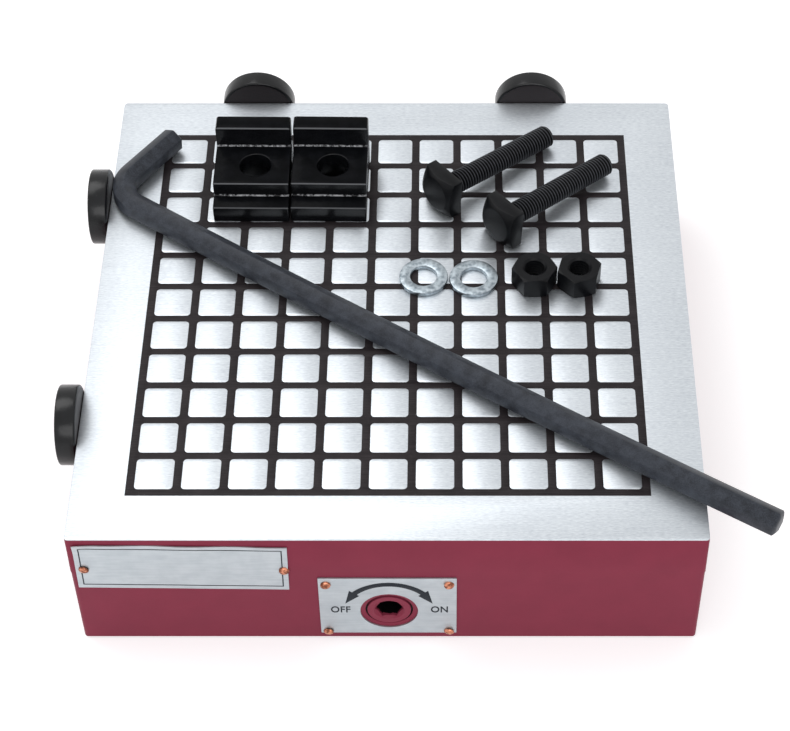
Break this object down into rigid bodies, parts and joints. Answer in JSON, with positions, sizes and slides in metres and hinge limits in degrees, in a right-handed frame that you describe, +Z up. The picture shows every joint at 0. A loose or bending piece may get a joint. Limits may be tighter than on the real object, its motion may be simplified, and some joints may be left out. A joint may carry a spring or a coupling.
{
  "type": "permanent magnetic chuck",
  "caption": "Square permanent magnetic chuck with a grid of poles, a hex-key switch that slides its magnets, eccentric stops, and a hex wrench with clamp plates, T-bolts, washers and nuts.",
  "frame": {"origin": "centre of the base, on the machine table", "axes": "+X right along the front, +Y to the back, +Z up, out of the work face"},
  "size_m": [0.345, 0.313, 0.111],
  "materials": {
    "paint": "wine red machine enamel, satin",
    "pole_steel": "surface ground",
    "resin": "dark cast resin, ground flush",
    "black_screws": "black oxide",
    "strip_brass": "milled",
    "bright_steel": "bright",
    "rubber": "matte",
    "bearing_bronze": "cast and bored",
    "machined_steel": "milled",
    "shaft_steel": "turned steel, front face painted with the collar",
    "plate_aluminium": "satin sheet",
    "rivet_copper": "copper",
    "magnet": "sintered ferrite",
    "spacer_aluminium": "sawn bar",
    "black_lacquer": "gloss black lacquer",
    "wrench_steel": "black oxide, drawn bar",
    "black_oxide": "black oxide, oiled",
    "zinc": "zinc plated"
  },
  "bodies": {
    "body": {"housing": "paint", "pole_plate": "pole_steel", "pole_resin": "resin", "plate_screws": "black_screws", "guide_strips": "strip_brass", "strip_screws": "bright_steel", "front_bush": "paint", "shaft_oring": "rubber", "rear_bearing": "bearing_bronze", "bearing_screws": "black_screws", "limit_bridge": "machined_steel", "bridge_screws": "black_screws", "switch_plate": "plate_aluminium", "switch_rivets": "rivet_copper", "name_plate": "plate_aluminium", "name_rivets": "rivet_copper", "stop_screws": "black_screws"},
    "rotor": {"crank_shaft": "shaft_steel", "limit_pin": "bright_steel"},
    "carriage": {"yoke_plate": "machined_steel", "drive_jaw_left": "machined_steel", "drive_jaw_right": "machined_steel", "jaw_screws": "black_screws", "magnet_row_01": "magnet", "magnet_row_02": "magnet", "magnet_row_03": "magnet", "magnet_row_04": "magnet", "magnet_row_05": "magnet", "magnet_row_06": "magnet", "magnet_row_07": "magnet", "magnet_row_08": "magnet", "magnet_row_09": "magnet", "magnet_row_10": "magnet", "magnet_row_11": "magnet", "row_spacers": "spacer_aluminium"},
    "stop_left_front": {"stop_disc_left_front": "black_lacquer"},
    "stop_left_rear": {"stop_disc_left_rear": "black_lacquer"},
    "stop_back_left": {"stop_disc_back_left": "black_lacquer"},
    "stop_back_right": {"stop_disc_back_right": "black_lacquer"},
    "wrench": {"hex_wrench": "wrench_steel"},
    "clamp_1": {"clamp_plate_1": "black_lacquer"},
    "clamp_2": {"clamp_plate_2": "black_lacquer"},
    "bolt_1": {"tee_bolt_1": "black_oxide"},
    "bolt_2": {"tee_bolt_2": "black_oxide"},
    "ring_1": {"washer_1": "zinc"},
    "ring_2": {"washer_2": "zinc"},
    "hex_nut_1": {"nut_1": "black_oxide"},
    "hex_nut_2": {"nut_2": "black_oxide"}
  },
  "joints": [
    {"name": "switch_turn", "type": "hinge", "parent": "body", "child": "rotor", "pos_m": [0, -0.1503, 0.024], "axis": [0, 1, 0], "range_deg": [0, 180]},
    {"name": "carriage_slide", "type": "slide", "parent": "body", "child": "carriage", "axis": [1, 0, 0], "range_m": [0, 0.0111]},
    {"name": "stop_left_front_turn", "type": "hinge", "parent": "body", "child": "stop_left_front", "pos_m": [-0.15, -0.075, 0.062], "axis": [-1, 0, 0], "continuous": true},
    {"name": "stop_left_rear_turn", "type": "hinge", "parent": "body", "child": "stop_left_rear", "pos_m": [-0.15, 0.075, 0.062], "axis": [-1, 0, 0], "continuous": true},
    {"name": "stop_back_left_turn", "type": "hinge", "parent": "body", "child": "stop_back_left", "pos_m": [-0.075, 0.15, 0.062], "axis": [0, 1, 0], "continuous": true},
    {"name": "stop_back_right_turn", "type": "hinge", "parent": "body", "child": "stop_back_right", "pos_m": [0.075, 0.15, 0.062], "axis": [0, 1, 0], "continuous": true},
    {"name": "wrench_lift_off", "type": "slide", "parent": "body", "child": "wrench", "axis": [0, 0, 1], "range_m": [0, 0.1]},
    {"name": "clamp_1_lift_off", "type": "slide", "parent": "body", "child": "clamp_1", "axis": [0, 0, 1], "range_m": [0, 0.1]},
    {"name": "clamp_2_lift_off", "type": "slide", "parent": "body", "child": "clamp_2", "axis": [0, 0, 1], "range_m": [0, 0.1]},
    {"name": "bolt_1_lift_off", "type": "slide", "parent": "body", "child": "bolt_1", "axis": [0, 0, 1], "range_m": [0, 0.1]},
    {"name": "bolt_2_lift_off", "type": "slide", "parent": "body", "child": "bolt_2", "axis": [0, 0, 1], "range_m": [0, 0.1]},
    {"name": "ring_1_lift_off", "type": "slide", "parent": "body", "child": "ring_1", "axis": [0, 0, 1], "range_m": [0, 0.1]},
    {"name": "ring_2_lift_off", "type": "slide", "parent": "body", "child": "ring_2", "axis": [0, 0, 1], "range_m": [0, 0.1]},
    {"name": "hex_nut_1_lift_off", "type": "slide", "parent": "body", "child": "hex_nut_1", "axis": [0, 0, 1], "range_m": [0, 0.1]},
    {"name": "hex_nut_2_lift_off", "type": "slide", "parent": "body", "child": "hex_nut_2", "axis": [0, 0, 1], "range_m": [0, 0.1]}
  ],
  "couplings": [
    {"joint": "switch_turn", "follows": "carriage_slide", "rad_per_m": 283}
  ]
}
